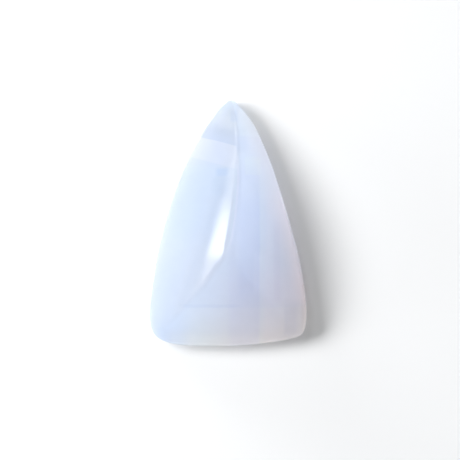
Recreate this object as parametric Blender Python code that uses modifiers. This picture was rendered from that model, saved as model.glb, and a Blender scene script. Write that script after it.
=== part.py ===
"""A polished blue chalcedony cabochon: one solid stone, a long rounded triangle.

The stone lies on its flat back. Its origin is the middle of the back's bounding box, +Y points to the narrow tip
and +Z is the way the dome rises. A coarse cage of columns and rows is laid over the outline, raised into three
faces that meet at a soft ridge and two soft hips, closed with a low upright girdle and a flat back, and then
subdivided.
"""
import math

import bmesh
import bpy

MM = 0.001

# Driving dimensions in millimetres
LENGTH = 26.0
GIRDLE = 1.15
CROWN = 5.35
BACK_BEVEL = 0.3
BACK_MARGIN = 0.9
BEVEL_RISE = 0.3

# The dome's profile from rim to ridge leaves the rim steeply and still slopes a little at the ridge
RIM_SLOPE = 1.25

# Cage columns from the left rim across the ridge to the right rim, as shares of the way from rim to ridge
COLUMNS = (0.0, 0.1, 0.3, 0.6, 0.86, 1.0, 0.86, 0.6, 0.3, 0.1, 0.0)
MIDDLE = 5

# Rows from the wide end up to the summit: share of the height at the hips, and share of the way to the summit
HIP_ROWS = (0.1, 0.3, 0.6, 0.86, 1.0)
HIP_UPS = (0.09, 0.27, 0.55, 0.83, 1.0)
SUMMIT = 10.4

# The wide end's rim: how far each column's foot lies up from the lowest point of the stone
END_RIM = (1.0, 0.5, 0.08, 0.0, 0.0, 0.0, 0.06, 0.2, 0.5, 0.85, 1.15)
END_SPREAD = (-7.68, 7.9, 0.2)

# Rows of the cage up to the summit: places of the left rim, the right rim and the ridge across the stone
FRONT_ROWS = (
    (-8.2, 8.24, 0.2),
    (-8.41, 8.41, 0.2),
    (-8.04, 8.16, 0.2),
    (-7.64, 7.66, 0.2),
    (-7.35, 7.33, 0.2),
)

# Rows from the summit to the tip: distance up the stone, left rim, right rim, ridge, share of the crown
TIP_ROWS = (
    (14.2, -6.36, 6.22, 0.83, 0.85),
    (17.35, -5.33, 5.28, 1.16, 0.66),
    (20.1, -4.11, 4.3, 1.12, 0.48),
    (22.45, -2.82, 3.28, 1.0, 0.315),
    (24.2, -1.6, 2.3, 0.78, 0.18),
    (25.1, -0.96, 1.42, 0.62, 0.09),
)
LAST_ROW = len(FRONT_ROWS) + len(TIP_ROWS) + 1

# The blunt tip is an arc: its middle, its radius, and the angles of its left end, its right end and the ridge
TIP_CENTRE = (0.34, 25.4)
TIP_RADIUS = 0.64
TIP_ANGLES = (math.radians(154), math.radians(26), math.radians(80))

# How sharp the edges between the dome's faces stay, from 0 for soft to 1 for sharp
HIP_CREASE = 0.38
RIDGE_CREASE = 0.15

SUBDIVISIONS = 2
STONE_BLUE = (0.72, 0.80, 0.93, 1.0)


def rise(share):
    """Return the dome's height over the girdle at a share of the way from rim to ridge."""
    return CROWN * share * (RIM_SLOPE - (RIM_SLOPE - 1.0) * share)


def across(column, left, right, ridge):
    """Return the value at a column, between its value at the rim on that side and its value at the ridge."""
    rim = left if column < MIDDLE else right
    return rim + (ridge - rim) * COLUMNS[column]


def end_point(column):
    """Return the rim point of the wide end at a column."""
    return across(column, *END_SPREAD), END_RIM[column], 0.0


def front_point(column, row):
    """Return a point between the wide end and the summit, on a contour that turns at the hips."""
    x = across(column, *FRONT_ROWS[row - 1])
    up = END_RIM[column] + (SUMMIT - END_RIM[column]) * HIP_UPS[row - 1]
    contour = min(COLUMNS[column], HIP_ROWS[row - 1])
    return x, up, rise(contour)


def tip_side_point(column, row):
    """Return a point between the summit and the tip."""
    up, left, right, ridge, crown = TIP_ROWS[row - len(FRONT_ROWS) - 1]
    return across(column, left, right, ridge), up, rise(COLUMNS[column] * crown)


def tip_point(column):
    """Return the rim point of the blunt tip at a column."""
    angle = across(column, *TIP_ANGLES)
    x = TIP_CENTRE[0] + TIP_RADIUS * math.cos(angle)
    return x, TIP_CENTRE[1] + TIP_RADIUS * math.sin(angle), 0.0


def cage_point(column, row):
    """Return the cage's point at a column and row, in metres."""
    if row == 0:
        x, up, height = end_point(column)
    elif row <= len(FRONT_ROWS):
        x, up, height = front_point(column, row)
    elif row < LAST_ROW:
        x, up, height = tip_side_point(column, row)
    else:
        x, up, height = tip_point(column)
    return x * MM, (up - LENGTH / 2) * MM, (GIRDLE + height) * MM


def lay_dome(bm):
    """Lay a grid over the outline, raise it into the dome and return its vertices by column and row."""
    columns = len(COLUMNS) - 1
    bmesh.ops.create_grid(bm, x_segments=columns, y_segments=LAST_ROW, size=1.0)
    cage = {}
    for vert in bm.verts:
        column = round((vert.co.x + 1.0) / 2.0 * columns)
        row = round((vert.co.y + 1.0) / 2.0 * LAST_ROW)
        vert.co = cage_point(column, row)
        cage[column, row] = vert
    return cage


def crease(bm, path, sharpness):
    """Join the vertices of a path one by one, cutting faces where they have no edge, and crease its edges."""
    creases = bm.edges.layers.float["crease_edge"]
    for start, end in zip(path[:-1], path[1:]):
        if bm.edges.get((start, end)) is None:
            bmesh.ops.connect_verts(bm, verts=[start, end])
        bm.edges.get((start, end))[creases] = sharpness


def sharpen(bm, cage):
    """Crease the ridge from the summit towards the tip, and both hips from the summit to the wide end's corners."""
    bm.edges.layers.float.new("crease_edge")
    crease(bm, [cage[MIDDLE, row] for row in range(MIDDLE, LAST_ROW)], RIDGE_CREASE)
    for side in (1, -1):
        crease(bm, [cage[MIDDLE + side * (step - MIDDLE), step] for step in range(1, MIDDLE + 1)], HIP_CREASE)


def extrude_rim(bm, inset, height):
    """Extrude the open rim to a new height and draw it in all round by the inset."""
    rim = [edge for edge in bm.edges if edge.is_boundary]
    made = bmesh.ops.extrude_edge_only(bm, edges=rim)["geom"]
    loop = [item for item in made if isinstance(item, bmesh.types.BMVert)]
    width = max(vert.co.x for vert in loop) - min(vert.co.x for vert in loop)
    depth = max(vert.co.y for vert in loop) - min(vert.co.y for vert in loop)
    bmesh.ops.scale(bm, verts=loop, vec=(1.0 - 2.0 * inset / width, 1.0 - 2.0 * inset / depth, 1.0))
    for vert in loop:
        vert.co.z = height


def build_stone():
    """Build the cabochon's cage, close it and return its object with a Subdivision Surface."""
    bm = bmesh.new()
    cage = lay_dome(bm)
    sharpen(bm, cage)
    extrude_rim(bm, 0.0, BEVEL_RISE * MM)
    extrude_rim(bm, BACK_BEVEL * MM, 0.0)
    extrude_rim(bm, BACK_MARGIN * MM, 0.0)
    bmesh.ops.contextual_create(bm, geom=[edge for edge in bm.edges if edge.is_boundary])
    bmesh.ops.recalc_face_normals(bm, faces=bm.faces)
    mesh = bpy.data.meshes.new("chalcedony_cabochon")
    bm.to_mesh(mesh)
    bm.free()
    mesh.shade_smooth()
    stone = bpy.data.objects.new("chalcedony_cabochon", mesh)
    smooth = stone.modifiers.new("Polished", "SUBSURF")
    smooth.levels = SUBDIVISIONS
    smooth.render_levels = SUBDIVISIONS
    return stone


def chalcedony():
    """Return the stone's material: pale blue, waxy and polished."""
    material = bpy.data.materials.new("chalcedony")
    material.use_nodes = True
    shader = material.node_tree.nodes["Principled BSDF"]
    shader.inputs["Base Color"].default_value = STONE_BLUE
    shader.inputs["Metallic"].default_value = 0.0
    shader.inputs["Roughness"].default_value = 0.08
    shader.inputs["IOR"].default_value = 1.54
    return material


def main():
    """Clear the scene and model the stone."""
    for old in list(bpy.data.objects):
        bpy.data.objects.remove(old, do_unlink=True)
    parts = bpy.data.collections.new("blue_chalcedony")
    bpy.context.scene.collection.children.link(parts)
    stone = build_stone()
    stone.data.materials.append(chalcedony())
    parts.objects.link(stone)


main()
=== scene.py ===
"""A polished blue chalcedony cabochon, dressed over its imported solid.

The stone is modelled again as a fine mesh from the same cage that gives the solid its shape: a flat grid
is added, its points are moved to their places on the dome, its rim is extruded down to the flat back, and
the whole is subdivided. Every length below is in millimetres unless it is said otherwise. +Y runs up the
stone to its tip.
"""
import logging
import math
from dataclasses import dataclass, field
from enum import Enum
from typing import Callable

import bmesh
import bpy
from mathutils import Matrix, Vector


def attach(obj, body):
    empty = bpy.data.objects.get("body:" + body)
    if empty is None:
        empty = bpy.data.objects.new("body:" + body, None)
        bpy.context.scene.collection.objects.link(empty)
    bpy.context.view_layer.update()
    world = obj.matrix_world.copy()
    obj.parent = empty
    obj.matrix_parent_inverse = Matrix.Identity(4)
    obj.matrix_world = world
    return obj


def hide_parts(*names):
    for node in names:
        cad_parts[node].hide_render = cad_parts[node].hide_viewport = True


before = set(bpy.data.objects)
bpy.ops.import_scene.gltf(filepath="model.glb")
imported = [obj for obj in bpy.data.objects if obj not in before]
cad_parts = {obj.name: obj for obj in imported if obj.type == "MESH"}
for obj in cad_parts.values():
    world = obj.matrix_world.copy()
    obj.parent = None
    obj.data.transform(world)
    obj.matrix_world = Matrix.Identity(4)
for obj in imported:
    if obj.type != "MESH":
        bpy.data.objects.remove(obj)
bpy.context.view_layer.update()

MM = 0.001

# How far a picked point may lie from the place that is asked for, in metres
REACH = 0.01 * MM
GRID_REACH = 0.1 * MM

# The middle of what runs from 0 to 1, such as a noise, the flat grid or a softbox's own coordinates
MIDDLE = 0.5

# Where the sockets for a mix of colours stand in a Mix node's lists of inputs and outputs
MIX_SHARE = 0
MIX_UNDER = 6
MIX_OVER = 7
MIX_RESULT = 2

Colour = tuple[float, float, float]
Point = tuple[float, float, float]

log = logging.getLogger("blue_chalcedony")


class Light(Enum):
    """The lamps of the studio."""

    WINDOW = "window_softbox"
    LOW = "low_softbox"
    SIDE = "side_softbox"
    UPPER = "upper_softbox"
    STREAK = "streak_softbox"
    CREST = "crest_softbox"


class MeshHand:
    """Works on one mesh in edit mode as a hand would: picks points or edges, then runs an operator."""

    def __init__(self, piece: bpy.types.Object) -> None:
        """Open the piece in edit mode.

        Args:
            piece: the mesh object to work on.
        """
        self.piece = piece
        bpy.context.view_layer.objects.active = piece
        bpy.ops.object.mode_set(mode="EDIT")
        bpy.ops.mesh.select_mode(type="VERT")

    def pick(self, wanted: Callable[[Vector], bool]) -> None:
        """Select the points whose place passes a test, and nothing else.

        Args:
            wanted: the test on a point's place.
        """
        bm = bmesh.from_edit_mesh(self.piece.data)
        for vert in bm.verts:
            vert.select_set(False)
        for vert in bm.verts:
            if wanted(vert.co):
                vert.select_set(True)
        bm.select_flush_mode()
        bmesh.update_edit_mesh(self.piece.data)

    def pick_open_rim(self) -> None:
        """Select the edges that have a face on one side only."""
        bpy.ops.mesh.select_all(action="DESELECT")
        bpy.ops.mesh.select_mode(type="EDGE")
        bpy.ops.mesh.select_non_manifold(extend=False)

    def connect(self, first: Vector, second: Vector) -> None:
        """Cut the face between two points along its diagonal.

        Args:
            first: the place of one point, in metres.
            second: the place of the other point.
        """
        self.pick(lambda place: min((place - first).length, (place - second).length) < REACH)
        bpy.ops.mesh.vert_connect()

    def crease(self, path: list[Vector], sharpness: float) -> None:
        """Crease the edges along a path of points.

        Args:
            path: the places of the points, in metres.
            sharpness: the crease, from 0 for soft to 1 for sharp.
        """
        self.pick(lambda place: min((place - point).length for point in path) < REACH)
        bpy.ops.transform.edge_crease(value=sharpness)

    def move(self, offset: Vector) -> None:
        """Move what is selected by an offset in metres."""
        bpy.ops.transform.translate(value=offset)

    def pull_rim(self, drop: float, shrink: tuple[float, float]) -> None:
        """Extrude the open rim downwards and draw it in.

        Args:
            drop: how far the new rim lies under the old one, in metres.
            shrink: factors on the rim's width and length.
        """
        self.pick_open_rim()
        bpy.ops.mesh.extrude_edges_move(TRANSFORM_OT_translate={"value": (0.0, 0.0, -drop)})
        bpy.ops.transform.resize(value=(shrink[0], shrink[1], 1.0), center_override=(0.0, 0.0, 0.0))

    def close(self) -> None:
        """Fill the open rim with one face, turn every face outwards and leave edit mode."""
        self.pick_open_rim()
        bpy.ops.mesh.edge_face_add()
        bpy.ops.mesh.select_all(action="SELECT")
        bpy.ops.mesh.normals_make_consistent(inside=False)
        bpy.ops.object.mode_set(mode="OBJECT")


class Face(Enum):
    """Where a mark is seen: left or right of the ridge, on both sides, or measured from the ridge itself."""

    LEFT = "left"
    RIGHT = "right"
    BOTH = "both"
    RIDGE = "ridge"


@dataclass(frozen=True)
class Mark:
    """One band, patch or wash in the stone, or a painted highlight, glow or shade on it: a tint inside a
    window that has two soft edges either way.

    The window is measured along a direction, given in degrees from the right round towards the tip, and
    across it, to the left of that direction. Each pair holds where an edge is nil and where it is full, so
    that the two edges may be sharp or soft.
    """

    name: str
    tint: Colour
    angle: float
    rise: tuple[float, float]
    fall: tuple[float, float] | None = None
    begin: tuple[float, float] | None = None
    end: tuple[float, float] | None = None
    face: Face = Face.BOTH


class Brush:
    """Builds the nodes of a material's colour or of a lamp's light."""

    def __init__(
        self, tree: bpy.types.NodeTree, source: str = "ShaderNodeTexCoord", place: str = "Object"
    ) -> None:
        """Start with the place on the stone, or on another surface.

        Args:
            tree: the nodes of the material or the lamp.
            source: the type name of the node that gives the place.
            place: the name of that node's output.
        """
        self.tree = tree
        self.place = self.add(source).outputs[place]

    def add(self, kind: str, **settings: object) -> bpy.types.Node:
        """Add a node and set its plain properties.

        Args:
            kind: the node's type name.
            settings: the properties to set.

        Returns:
            The new node.
        """
        node = self.tree.nodes.new(kind)
        for name, value in settings.items():
            setattr(node, name, value)
        return node

    def noise(self, size: float, detail: float) -> bpy.types.NodeSocket:
        """Make a noise over the stone.

        Args:
            size: how wide its lumps are, in millimetres.
            detail: how many finer layers it has.

        Returns:
            The noise, from 0 to 1 and near the middle on average.
        """
        node = self.add("ShaderNodeTexNoise")
        node.inputs["Scale"].default_value = 1.0 / (size * MM)
        node.inputs["Detail"].default_value = detail
        self.tree.links.new(self.place, node.inputs["Vector"])
        return node.outputs["Fac"]

    def along(self, angle: float) -> bpy.types.NodeSocket:
        """Measure the place along a direction.

        Args:
            angle: the direction in degrees, from the right round towards the tip.

        Returns:
            The place along it, in metres.
        """
        node = self.add("ShaderNodeVectorMath", operation="DOT_PRODUCT")
        turn = math.radians(angle)
        node.inputs[1].default_value = (math.cos(turn), math.sin(turn), 0.0)
        self.tree.links.new(self.place, node.inputs[0])
        return node.outputs["Value"]

    def feed(self, socket: bpy.types.NodeSocket, value: float | bpy.types.NodeSocket) -> None:
        """Give a socket a plain value, or link it to another node's output.

        Args:
            socket: the socket.
            value: the value or the output.
        """
        if isinstance(value, bpy.types.NodeSocket):
            self.tree.links.new(value, socket)
        else:
            socket.default_value = value

    def work(self, operation: str, *values: float | bpy.types.NodeSocket) -> bpy.types.NodeSocket:
        """Do one sum with values or other nodes' outputs.

        Args:
            operation: the sum's name in Blender.
            values: what it works on.

        Returns:
            The result.
        """
        node = self.add("ShaderNodeMath", operation=operation)
        for socket, value in zip(node.inputs, values):
            self.feed(socket, value)
        return node.outputs["Value"]

    def edge(self, value: bpy.types.NodeSocket, nil: float, full: float) -> bpy.types.NodeSocket:
        """Make a smooth edge.

        Args:
            value: the place along some direction, in metres.
            nil: where the edge is 0, in millimetres.
            full: where it is 1.

        Returns:
            The edge's share, from 0 to 1.
        """
        node = self.add("ShaderNodeMapRange", interpolation_type="SMOOTHSTEP")
        node.inputs["From Min"].default_value = nil * MM
        node.inputs["From Max"].default_value = full * MM
        self.tree.links.new(value, node.inputs["Value"])
        return node.outputs["Result"]

    def tint(
        self, colour: bpy.types.NodeSocket, mask: bpy.types.NodeSocket, tint: Colour
    ) -> bpy.types.NodeSocket:
        """Multiply a colour by a tint where a mask is set.

        Args:
            colour: the colour so far.
            mask: how much of the tint is seen.
            tint: the tint.

        Returns:
            The new colour.
        """
        node = self.add("ShaderNodeMix", data_type="RGBA", blend_type="MULTIPLY")
        self.tree.links.new(mask, node.inputs[MIX_SHARE])
        self.tree.links.new(colour, node.inputs[MIX_UNDER])
        node.inputs[MIX_OVER].default_value = (*tint, 1.0)
        return node.outputs[MIX_RESULT]

    def layer(
        self, under: bpy.types.NodeSocket, over: bpy.types.NodeSocket, share: float | bpy.types.NodeSocket
    ) -> bpy.types.NodeSocket:
        """Lay one shader over another.

        Args:
            under: the lower shader.
            over: the upper shader.
            share: how much of the upper one is seen, from 0 to 1.

        Returns:
            The shader of both together.
        """
        node = self.add("ShaderNodeMixShader")
        amount, lower, upper = node.inputs
        self.feed(amount, share)
        self.tree.links.new(under, lower)
        self.tree.links.new(over, upper)
        return node.outputs["Shader"]


@dataclass(frozen=True)
class ChalcedonyFinish:
    """The stone's finish: its banded colours, with some painted light and shade among its marks, its
    translucency and polish.
    """

    body: Colour = (0.84, 0.885, 0.95)
    glow_share: float = 0.85

    # How much the polish mirrors head on, how much more at a glance, and how fast that rises
    gloss: float = 0.045
    glance_gloss: float = 0.5
    glance_blend: float = 0.5
    glance_power: float = 5.0
    gloss_roughness: float = 0.04
    refraction: float = 1.54

    # How widely the marks drift about their places, with a noise of this size and detail
    wobble: float = 0.16
    wobble_size: float = 3.0
    wobble_detail: float = 1.0

    # How much the body clouds, as a share of its brightness, with a noise of this size and detail
    mottle: float = 0.03
    mottle_size: float = 1.1
    mottle_detail: float = 2.0

    # The ridge seen from above is a bow: its rightmost place across and up the stone, its bend per
    # millimetre, and half the width of the soft border between both faces
    ridge_middle: float = 0.95
    ridge_up: float = 5.5
    ridge_bend: float = 0.014
    ridge_softness: float = 0.08

    # Some marks below are painted light and shade, not the stone's own colour; each of them says so above it
    marks: tuple[Mark, ...] = (
        Mark("blue right face", (0.975, 0.967, 0.995), 0.0, (-0.4, 0.6), (3.5, 3.0), None, (6.4, 4.8),
             Face.RIGHT),
        Mark("deep strip", (0.955, 0.965, 0.998), 0.0, (0.6, 1.6), (3.4, 3.1), (-9.0, -6.0), (4.0, 1.0)),
        Mark("front face", (0.995, 1.0, 1.005), -45.0, (2.0, 3.0), None, (-1.7, -2.7)),
        # Painted light: two washes that tone down the window's and sky's light on the left face and its upper
        # part
        Mark("painted light on left face", (0.98, 0.985, 1.0), 180.0, (-0.6, 1.0), None, (3.0, 0.0), face=Face.LEFT),
        Mark("painted light on upper left", (0.99, 1.005, 1.005), 90.0, (-4.0, 0.0), (6.4, 5.6), face=Face.LEFT),
        # Painted light: a pale line along the crest, standing in for light and glint on the ridge
        Mark("painted light along ridge", (1.025, 1.025, 1.025), 0.0, (-0.5, -0.1), (0.5, 0.1), (-4.5, -3.0), (6.5, 5.0),
             Face.RIDGE),
        Mark("lavender side", (1.06, 1.02, 1.01), 0.0, (3.0, 4.2), None, None, (5.0, 1.0)),
        # Painted light: the glow of light that passes through the stone and bounces off the floor, lightening
        # the right rim and lower right, away from the window
        Mark("painted glow on right rim", (1.13, 1.06, 1.02), 19.0, (3.8, 6.2), face=Face.RIGHT),
        Mark("painted glow lower right", (1.06, 1.045, 1.02), 0.0, (5.0, 7.6), None, (-9.2, -7.6), (2.0, -3.0)),
        Mark("pale wide end", (1.09, 1.06, 1.0), -90.0, (7.0, 12.6), None, (-5.6, -2.6)),
        Mark("warm middle", (1.045, 1.015, 1.01), 0.0, (-4.5, 1.0), None, None, (-3.5, -7.0)),
        # Painted light: takes blue out of the left rim so that the window's light shows it white
        Mark("painted light on left rim", (0.968, 0.95, 0.925), 159.0, (2.6, 6.4)),
        Mark("blue lower left", (0.965, 0.975, 0.995), 180.0, (4.0, 7.0), None, (1.0, 5.0)),
        Mark("tip", (0.98, 0.98, 0.97), 90.0, (8.4, 10.0)),
        # Painted light: lightens the tip's right facet, standing in for light that passes through the thin
        # tip and bounces off the floor
        Mark("painted glow on tip facet", (1.02, 1.03, 1.02), 0.0, (1.0, 1.4), None, (8.9, 9.3)),
        Mark("blue under tip", (0.975, 0.98, 1.0), 90.0, (7.2, 7.9), (9.3, 8.9), (-2.6, -1.7), (-0.6, -0.9)),
        Mark("blue apex", (0.96, 0.98, 1.0), 90.0, (11.6, 12.2)),
        Mark("tip fleck", (1.04, 1.03, 1.02), 90.0, (9.6, 10.1), (11.5, 11.0), (-0.7, -0.2), (1.3, 0.8)),
        Mark("tip spot", (0.93, 0.95, 0.99), 90.0, (10.4, 10.9), (12.1, 11.6), (-1.2, -0.8), (-0.1, -0.4)),
        Mark("dark stripe", (0.925, 0.94, 0.97), 73.3, (7.85, 7.97), (10.2, 8.7), face=Face.LEFT),
        Mark("pale band", (1.05, 1.03, 1.02), 73.3, (5.5, 5.7), (7.97, 7.85), face=Face.LEFT),
        Mark("deep patch", (0.91, 0.95, 1.0), 90.0, (4.7, 5.1), (5.9, 5.5), (-0.3, 0.3), (1.5, 0.9)),
        Mark("blue under patch", (0.955, 0.97, 0.985), 90.0, (2.2, 3.6), (5.1, 4.6), (-0.6, 0.2), (2.0, 1.0)),
        Mark("grey patch", (1.02, 1.02, 0.99), 90.0, (4.9, 5.1), (7.2, 6.6), (-3.6, -3.2), (-1.6, -1.9),
             Face.RIGHT),
        Mark("purple line", (0.985, 0.975, 0.985), 0.0, (4.6, 4.9), (5.6, 5.3), (-8.6, -7.5), (1.0, -1.0)),
        Mark("end step", (1.02, 1.012, 1.0), -90.0, (8.6, 8.9), None, (-5.0, -3.5)),
        Mark("end line", (0.965, 0.97, 0.985), -90.0, (8.3, 8.5), (8.85, 8.65), (-5.4, -4.4), (1.5, 0.5)),
        # Painted light: a pale strip along the wide end's rim, standing in for light from the floor and
        # through the stone at the edge
        Mark("painted rim light at wide end", (1.05, 1.04, 1.02), -90.0, (11.2, 12.4), None, (-6.8, -5.4), (5.0, 3.6)),
        Mark("brown corner", (1.0, 1.01, 1.0), 0.0, (3.2, 3.5), None, None, (-8.0, -9.0)),
        Mark("plum band", (0.94, 0.945, 0.965), 0.0, (5.6, 6.1), (7.6, 6.9), (-12.4, -11.4), (-7.4, -9.4)),
        # Painted shade: a darker band along the left of the mirrored streak
        Mark("painted shade beside streak", (0.98, 0.985, 0.995), 161.0, (0.9, 1.35), (2.4, 1.9), (-7.0, -5.0),
             (10.5, 9.0)),
        # Painted highlight: a thin bright line along the crest, beside the mirrored streak
        Mark("painted highlight on ridge", (1.07, 1.055, 1.04), 0.0, (-0.06, 0.05), (0.3, 0.12), (-3.0, -1.5), (7.4, 6.6),
             Face.RIDGE),
        Mark("grey by ridge", (0.97, 0.97, 0.97), 0.0, (0.9, 1.2), (2.2, 1.6), (7.0, 7.6), (10.4, 9.6)),
        Mark("deep edge", (0.97, 0.98, 0.99), 0.0, (3.0, 3.3), (4.3, 3.8), (-3.6, -2.0), (2.8, 1.2)),
        Mark("pale edge", (1.03, 1.02, 1.01), 0.0, (2.5, 2.8), (3.6, 3.2), (-8.0, -6.8), (-2.6, -3.6)),
        Mark("pale left foot", (1.04, 1.02, 1.0), -90.0, (10.6, 11.8), None, (-6.8, -5.6), (-2.8, -4.2)),
        # Painted shadow: darkens the right edge and rim, where the floor's shadow meets the stone on the side
        # away from the window
        Mark("painted shadow on right edge", (0.81, 0.825, 0.845), 12.0, (6.1, 6.5)),
        Mark("painted shadow on right rim", (0.95, 0.93, 0.9), 0.0, (7.5, 8.1)),
    )

    def ridge_side(self, brush: Brush) -> bpy.types.NodeSocket:
        """Tell both faces apart.

        Args:
            brush: the brush that builds the nodes.

        Returns:
            How far the place lies to the right of the ridge, in metres.
        """
        up = brush.work("SUBTRACT", brush.along(90.0), self.ridge_up * MM)
        bend = brush.work("MULTIPLY", brush.work("MULTIPLY", up, up), self.ridge_bend / MM)
        ridge = brush.work("SUBTRACT", self.ridge_middle * MM, bend)
        return brush.work("SUBTRACT", brush.along(0.0), ridge)

    def window(
        self, brush: Brush, mark: Mark, drift: bpy.types.NodeSocket, beside: bpy.types.NodeSocket
    ) -> bpy.types.NodeSocket:
        """Make the window in which a mark is seen.

        Args:
            brush: the brush that builds the nodes.
            mark: the mark.
            drift: how far the stone's growth has shifted the mark, in metres.
            beside: how far the place lies to the right of the ridge, in metres.

        Returns:
            How much of the mark is seen, from 0 to 1.
        """
        place = beside if mark.face is Face.RIDGE else brush.work("ADD", brush.along(mark.angle), drift)
        mask = brush.edge(place, *mark.rise)
        if mark.fall:
            mask = brush.work("MULTIPLY", mask, brush.edge(place, *mark.fall))
        side = brush.along(mark.angle + 90.0)
        for limit in (mark.begin, mark.end):
            if limit:
                mask = brush.work("MULTIPLY", mask, brush.edge(side, *limit))
        return mask

    def colour(self, brush: Brush) -> bpy.types.NodeSocket:
        """Build the stone's colour, mark over mark; some marks are painted highlights, glows and shades.

        Args:
            brush: the brush that builds the nodes.

        Returns:
            The colour.
        """
        wave = brush.work("SUBTRACT", brush.noise(self.wobble_size, self.wobble_detail), MIDDLE)
        drift = brush.work("MULTIPLY", wave, self.wobble * MM)
        beside = self.ridge_side(brush)
        soft = self.ridge_softness
        faces = {Face.LEFT: brush.edge(beside, soft, -soft), Face.RIGHT: brush.edge(beside, -soft, soft)}
        grain = brush.work("MULTIPLY", brush.noise(self.mottle_size, self.mottle_detail), self.mottle)
        cloud = brush.work("ADD", grain, 1.0 - self.mottle * MIDDLE)
        start = brush.add("ShaderNodeVectorMath", operation="SCALE")
        start.inputs[0].default_value = self.body
        brush.tree.links.new(cloud, start.inputs["Scale"])
        colour = start.outputs["Vector"]
        for mark in self.marks:
            mask = self.window(brush, mark, drift, beside)
            if mark.face in faces:
                mask = brush.work("MULTIPLY", mask, faces[mark.face])
            colour = brush.tint(colour, mask, mark.tint)
        return colour

    def polish(self, brush: Brush, body: bpy.types.NodeSocket) -> bpy.types.NodeSocket:
        """Lay the polished surface over the body: it mirrors little head on and much at a glance.

        Args:
            brush: the brush that builds the nodes.
            body: the shader of the stone's body.

        Returns:
            The shader of body and polish together.
        """
        glance = brush.add("ShaderNodeLayerWeight")
        glance.inputs["Blend"].default_value = self.glance_blend
        steep = brush.work("POWER", glance.outputs["Facing"], self.glance_power)
        share = brush.work("ADD", brush.work("MULTIPLY", steep, self.glance_gloss), self.gloss)
        mirror = brush.add("ShaderNodeBsdfAnisotropic")
        mirror.inputs["Color"].default_value = (1.0, 1.0, 1.0, 1.0)
        mirror.inputs["Roughness"].default_value = self.gloss_roughness
        return brush.layer(body, mirror.outputs["BSDF"], share)

    def material(self) -> bpy.types.Material:
        """Make the stone's material.

        Returns:
            The material, with its nodes.
        """
        material = bpy.data.materials.new("blue_chalcedony")
        material.use_nodes = True
        brush = Brush(material.node_tree)
        nodes = material.node_tree.nodes
        links = material.node_tree.links
        colour = self.colour(brush)
        shader = nodes["Principled BSDF"]
        links.new(colour, shader.inputs["Base Color"])
        shader.inputs["Roughness"].default_value = self.gloss_roughness
        shader.inputs["IOR"].default_value = self.refraction
        shader.inputs["Specular IOR Level"].default_value = 0.0
        glow = brush.add("ShaderNodeBsdfTranslucent")
        links.new(colour, glow.inputs["Color"])
        body = brush.layer(shader.outputs["BSDF"], glow.outputs["BSDF"], self.glow_share)
        links.new(self.polish(brush, body), nodes["Material Output"].inputs["Surface"])
        return material


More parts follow.
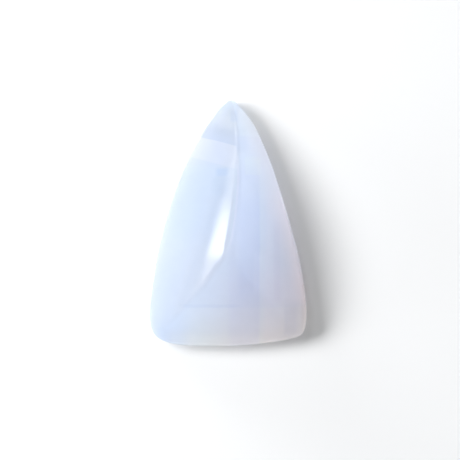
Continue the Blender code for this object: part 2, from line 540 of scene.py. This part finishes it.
@dataclass
class Cabochon:
    """The stone: its cage, and the finish that it gets."""

    length: float = 26.0
    girdle: float = 1.15
    crown: float = 5.35
    bevel_rise: float = 0.3
    back_bevel: float = 0.3
    back_margin: float = 0.9

    # The dome's profile from rim to ridge leaves the rim steeply and still slopes a little at the ridge
    rim_slope: float = 1.25

    # How sharp the edges between the dome's faces stay, from 0 for soft to 1 for sharp
    hip_crease: float = 0.38
    ridge_crease: float = 0.15
    subdivisions: int = 4

    # Columns from the left rim across the ridge to the right rim, as shares of the way from rim to ridge
    columns: tuple[float, ...] = (0.0, 0.1, 0.3, 0.6, 0.86, 1.0, 0.86, 0.6, 0.3, 0.1, 0.0)

    # Rows up to the summit: share of the height at the hips, and share of the way to the summit
    hip_rows: tuple[float, ...] = (0.1, 0.3, 0.6, 0.86, 1.0)
    hip_ups: tuple[float, ...] = (0.09, 0.27, 0.55, 0.83, 1.0)
    summit: float = 10.4

    # The wide end's rim: how far each column's foot lies up from the stone's lowest point, and the places
    # of the left rim, the right rim and the ridge
    end_rim: tuple[float, ...] = (1.0, 0.5, 0.08, 0.0, 0.0, 0.0, 0.06, 0.2, 0.5, 0.85, 1.15)
    end_spread: Point = (-7.68, 7.9, 0.2)

    # The same three places in the rows up to the summit
    front_rows: tuple[Point, ...] = (
        (-8.2, 8.24, 0.2),
        (-8.41, 8.41, 0.2),
        (-8.04, 8.16, 0.2),
        (-7.64, 7.66, 0.2),
        (-7.35, 7.33, 0.2),
    )

    # Rows from the summit to the tip: distance up the stone, left rim, right rim, ridge, share of the crown
    tip_rows: tuple[tuple[float, ...], ...] = (
        (14.2, -6.36, 6.22, 0.83, 0.85),
        (17.35, -5.33, 5.28, 1.16, 0.66),
        (20.1, -4.11, 4.3, 1.12, 0.48),
        (22.45, -2.82, 3.28, 1.0, 0.315),
        (24.2, -1.6, 2.3, 0.78, 0.18),
        (25.1, -0.96, 1.42, 0.62, 0.09),
    )

    # The blunt tip is an arc: its middle, its radius, and the degrees of its left end, right end and ridge
    tip_centre: tuple[float, float] = (0.34, 25.4)
    tip_radius: float = 0.64
    tip_angles: Point = (154.0, 26.0, 80.0)

    finish: ChalcedonyFinish = field(default_factory=ChalcedonyFinish)

    @property
    def last_row(self) -> int:
        """The number of the row that runs round the tip."""
        return len(self.front_rows) + len(self.tip_rows) + 1

    def rise(self, share: float) -> float:
        """Return the dome's height over the girdle at a share of the way from rim to ridge."""
        return self.crown * share * (self.rim_slope - (self.rim_slope - 1.0) * share)

    def across(self, column: int, left: float, right: float, ridge: float) -> float:
        """Work out a value at a column from its values at both rims and at the ridge.

        Args:
            column: the column's number, from the left rim.
            left: the value at the left rim.
            right: the value at the right rim.
            ridge: the value at the ridge.

        Returns:
            The value at the column.
        """
        rim = left if column < len(self.columns) // 2 else right
        return rim + (ridge - rim) * self.columns[column]

    def cage_point(self, column: int, row: int) -> Vector:
        """Work out a point of the cage.

        Args:
            column: the column's number, from the left rim.
            row: the row's number, from the wide end.

        Returns:
            The point's place in metres.
        """
        if row == 0:
            x = self.across(column, *self.end_spread)
            up = self.end_rim[column]
            height = 0.0
        elif row <= len(self.front_rows):
            share = self.hip_rows[row - 1]
            x = self.across(column, *self.front_rows[row - 1])
            up = self.end_rim[column] + (self.summit - self.end_rim[column]) * self.hip_ups[row - 1]
            height = self.rise(min(self.columns[column], share))
        elif row < self.last_row:
            up, left, right, ridge, crown = self.tip_rows[row - len(self.front_rows) - 1]
            x = self.across(column, left, right, ridge)
            height = self.rise(self.columns[column] * crown)
        else:
            angle = math.radians(self.across(column, *self.tip_angles))
            x = self.tip_centre[0] + self.tip_radius * math.cos(angle)
            up = self.tip_centre[1] + self.tip_radius * math.sin(angle)
            height = 0.0
        return Vector((x, up - self.length / 2, self.girdle + height)) * MM

    def raise_dome(self, hand: MeshHand) -> None:
        """Move every point of the flat grid to its place on the dome.

        Args:
            hand: the hand that works on the grid.
        """
        last_column = len(self.columns) - 1
        for row in range(self.last_row + 1):
            for column in range(last_column + 1):
                spot = Vector((column / last_column - MIDDLE, row / self.last_row - MIDDLE, 0.0))
                flat = spot * self.length * MM
                hand.pick(lambda place: (place - flat).length < GRID_REACH)
                hand.move(self.cage_point(column, row) - flat)

    def sharpen(self, hand: MeshHand) -> None:
        """Cut both hips as edges, and crease the hips and the ridge.

        Args:
            hand: the hand that works on the dome.
        """
        middle = len(self.columns) // 2
        for side in (1, -1):
            hip = [self.cage_point(middle + side * (step - middle), step) for step in range(1, middle + 1)]
            for lower, upper in zip(hip[:-1], hip[1:]):
                hand.connect(lower, upper)
            hand.crease(hip, self.hip_crease)
        ridge = [self.cage_point(middle, row) for row in range(middle, self.last_row)]
        hand.crease(ridge, self.ridge_crease)

    def build(self) -> bpy.types.Object:
        """Model the stone.

        Returns:
            The finished mesh object, at the origin.
        """
        bpy.ops.object.select_all(action="DESELECT")
        last_column = len(self.columns) - 1
        size = self.length * MM
        bpy.ops.mesh.primitive_grid_add(x_subdivisions=last_column, y_subdivisions=self.last_row, size=size)
        stone = bpy.context.active_object
        stone.name = "polished_chalcedony"
        stone.data.name = stone.name
        hand = MeshHand(stone)
        self.raise_dome(hand)
        self.sharpen(hand)
        width = self.end_spread[1] - self.end_spread[0]
        hand.pull_rim((self.girdle - self.bevel_rise) * MM, (1.0, 1.0))
        for drop, inset in ((self.bevel_rise, self.back_bevel), (0.0, self.back_margin)):
            hand.pull_rim(drop * MM, (1.0 - 2 * inset / width, 1.0 - 2 * inset / self.length))
        hand.close()
        smooth = stone.modifiers.new("Polished", "SUBSURF")
        smooth.levels = self.subdivisions
        smooth.render_levels = self.subdivisions
        bpy.ops.object.modifier_apply(modifier=smooth.name)
        bpy.ops.object.shade_smooth()
        return stone

    def dress(self, stone: bpy.types.Object) -> None:
        """Give the stone its finish and tie it to the frame.

        Args:
            stone: the modelled stone.
        """
        stone.data.materials.clear()
        stone.data.materials.append(self.finish.material())
        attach(stone, "root")
        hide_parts("chalcedony_cabochon")


@dataclass(frozen=True)
class Lamp:
    """One softbox that faces the stone.

    Its direction is given in degrees from upright, and from the left round towards the tip. Its size is its
    width and its height, and its power is in watts. Where it isn't mirrored, the polish doesn't show it.
    """

    light: Light
    from_upright: float
    turn: float
    distance: float
    size: tuple[float, float]
    power: float
    mirrored: bool

    @property
    def place(self) -> Vector:
        """The lamp's place over the floor."""
        lean = math.radians(self.from_upright)
        turn = math.radians(self.turn)
        way = Vector((-math.sin(lean) * math.cos(turn), math.sin(lean) * math.sin(turn), math.cos(lean)))
        return way * self.distance


@dataclass(frozen=True)
class Glow:
    """The shape and brightness of the softbox that the polish mirrors as a streak.

    Places on it are measured in millimetres from its middle, along it towards the tip and up it.
    """

    # The lower edge: its lowest point, and how it bends up from there to both sides, per millimetre
    lowest: tuple[float, float] = (20.0, -52.0)
    bends: tuple[float, float] = (0.0013, 0.0026)

    # Where the light is nil and where it is full: over the lower edge, up to the top, and along to one end
    foot: tuple[float, float] = (-1.0, 4.0)
    top: tuple[float, float] = (62.0, 5.0)
    end: tuple[float, float] = (-185.0, -140.0)

    # The bright middle: the same over the lower edge and along to both ends, and the light that it adds
    hot_foot: tuple[float, float] = (-3.0, 20.0)
    rise: tuple[float, float] = (-150.0, -30.0)
    fall: tuple[float, float] = (110.0, 25.0)
    hot: float = 3.6

    def paint(self, panel: bpy.types.Light, size: tuple[float, float]) -> None:
        """Shape the softbox's light.

        Args:
            panel: the softbox's light.
            size: its width and height.
        """
        panel.use_nodes = True
        brush = Brush(panel.node_tree, "ShaderNodeNewGeometry", "Parametric")
        along = brush.work("MULTIPLY", brush.work("SUBTRACT", brush.along(0.0), MIDDLE), -size[0] * MM)
        up = brush.work("MULTIPLY", brush.work("SUBTRACT", brush.along(90.0), MIDDLE), size[1] * MM)
        way = brush.work("SUBTRACT", along, self.lowest[0] * MM)
        low = brush.work("MINIMUM", way, 0.0)
        high = brush.work("MAXIMUM", way, 0.0)
        over = brush.work("SUBTRACT", up, self.lowest[1] * MM)
        for side, bend in ((low, self.bends[0]), (high, self.bends[1])):
            curve = brush.work("MULTIPLY", brush.work("MULTIPLY", side, side), bend / MM)
            over = brush.work("SUBTRACT", over, curve)
        middle = brush.work("MULTIPLY", brush.edge(along, *self.rise), brush.edge(along, *self.fall))
        middle = brush.work("MULTIPLY", middle, brush.edge(over, *self.hot_foot))
        light = brush.work("ADD", brush.work("MULTIPLY", middle, self.hot), brush.edge(over, *self.foot))
        ends = brush.work("MULTIPLY", brush.edge(up, *self.top), brush.edge(along, *self.end))
        strength = brush.work("MULTIPLY", light, ends)
        brush.tree.links.new(strength, brush.tree.nodes["Emission"].inputs["Strength"])


@dataclass
class Studio:
    """The plain pale floor, the soft lamps and the camera."""

    # What the camera sees, at a height over the stone's flat back
    frame_width: float = 48.62
    frame_centre: tuple[float, float] = (0.21, -0.71)
    frame_height: float = 1.0
    lens: float = 100.0
    sensor: float = 36.0
    clip_start: float = 5.0

    # The floor lies a small gap under the stone's back
    floor_size: float = 3000.0
    floor_gap: float = 0.05
    floor_colour: Colour = (0.86, 0.87, 0.88)
    floor_roughness: float = 0.7

    room: Colour = (1.0, 1.0, 1.0)
    room_strength: float = 0.38
    glow: Glow = field(default_factory=Glow)
    lamps: tuple[Lamp, ...] = (
        Lamp(Light.WINDOW, 61.5, 17.5, 440.0, (330.0, 110.0), 2.4, False),
        Lamp(Light.LOW, 80.0, 55.0, 470.0, (160.0, 110.0), 0.9, False),
        Lamp(Light.SIDE, 79.0, -5.0, 470.0, (160.0, 110.0), 0.36, False),
        Lamp(Light.UPPER, 45.0, 55.0, 470.0, (160.0, 110.0), 0.2, False),
        Lamp(Light.STREAK, 61.0, 18.0, 430.0, (380.0, 130.0), 0.316, True),
        Lamp(Light.CREST, 57.0, 58.0, 450.0, (216.0, 70.0), 0.08, True),
    )

    def lay_floor(self) -> None:
        """Lay the floor and give it its pale matte finish."""
        bpy.ops.object.select_all(action="DESELECT")
        bpy.ops.mesh.primitive_plane_add(size=self.floor_size * MM, location=(0.0, 0.0, -self.floor_gap * MM))
        floor = bpy.context.active_object
        floor.name = "pale_floor"
        material = bpy.data.materials.new("pale_floor")
        material.use_nodes = True
        shader = material.node_tree.nodes["Principled BSDF"]
        shader.inputs["Base Color"].default_value = (*self.floor_colour, 1.0)
        shader.inputs["Roughness"].default_value = self.floor_roughness
        floor.data.materials.append(material)

    def hang_lamp(self, lamp: Lamp) -> None:
        """Hang a softbox and turn its face to the stone.

        Args:
            lamp: the lamp's place, size and power.
        """
        panel = bpy.data.lights.new(lamp.light.value, "AREA")
        panel.shape = "ELLIPSE"
        panel.size = lamp.size[0] * MM
        panel.size_y = lamp.size[1] * MM
        panel.energy = lamp.power
        if lamp.light is Light.STREAK:
            panel.shape = "RECTANGLE"
            self.glow.paint(panel, lamp.size)
        holder = bpy.data.objects.new(lamp.light.value, panel)
        holder.location = lamp.place * MM
        holder.rotation_euler = (-lamp.place).to_track_quat("-Z", "Y").to_euler()
        holder.visible_glossy = lamp.mirrored
        bpy.context.scene.collection.objects.link(holder)

    def light_room(self) -> None:
        """Set the even light of the white room."""
        world = bpy.data.worlds.new("white_room")
        world.use_nodes = True
        background = world.node_tree.nodes["Background"]
        background.inputs["Color"].default_value = (*self.room, 1.0)
        background.inputs["Strength"].default_value = self.room_strength
        bpy.context.scene.world = world

    def set_camera(self) -> None:
        """Look straight down on the stone, with the tip up in the picture."""
        camera = bpy.data.cameras.new("camera")
        camera.lens = self.lens
        camera.sensor_width = self.sensor
        camera.clip_start = self.clip_start * MM
        holder = bpy.data.objects.new("camera", camera)
        distance = self.frame_width * self.lens / self.sensor
        holder.location = Vector((*self.frame_centre, self.frame_height + distance)) * MM
        bpy.context.scene.collection.objects.link(holder)
        bpy.context.scene.camera = holder

    def set_up(self) -> None:
        """Build the whole studio."""
        bpy.context.scene.view_settings.view_transform = "Standard"
        self.lay_floor()
        for lamp in self.lamps:
            self.hang_lamp(lamp)
        self.light_room()
        self.set_camera()


def main() -> None:
    """Build the studio and the stone, and report each piece."""
    logging.basicConfig(level=logging.INFO, format="%(message)s")
    studio = Studio()
    studio.set_up()
    log.info("studio: floor, lamps and camera")
    cabochon = Cabochon()
    stone = cabochon.build()
    cabochon.dress(stone)
    log.info("%s: %d faces", stone.name, len(stone.data.polygons))


if __name__ == "__main__":
    main()
